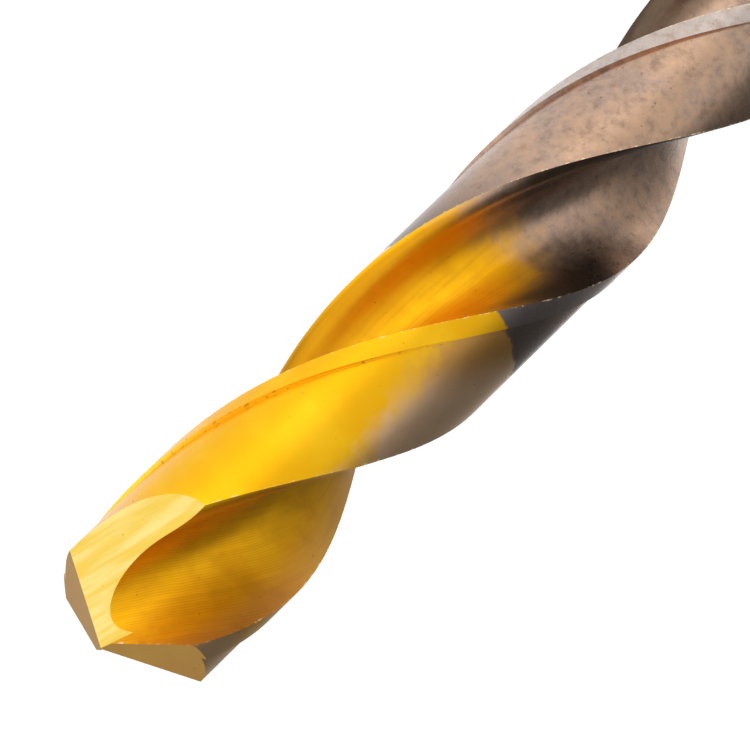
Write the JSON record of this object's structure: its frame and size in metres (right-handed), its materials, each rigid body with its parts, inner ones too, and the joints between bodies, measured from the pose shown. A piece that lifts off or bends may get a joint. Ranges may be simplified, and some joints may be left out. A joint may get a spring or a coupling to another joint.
{
  "type": "twist drill bit",
  "caption": "Gold-coated twist drill bit with helical flutes, narrow margins, a thinned split point and a straight shank.",
  "frame": {"origin": "centre of the shank's end face", "axes": "+Z along the bit's axis from the shank's end to the tip; the two cutting lips lie along X"},
  "size_m": [0.01, 0.01, 0.133],
  "materials": {
    "coated_steel": "ground high-speed steel with a gold titanium nitride coating that turns to bronze and grey"
  },
  "bodies": {
    "root": {"drill_bit": "coated_steel"}
  },
  "joints": []
}
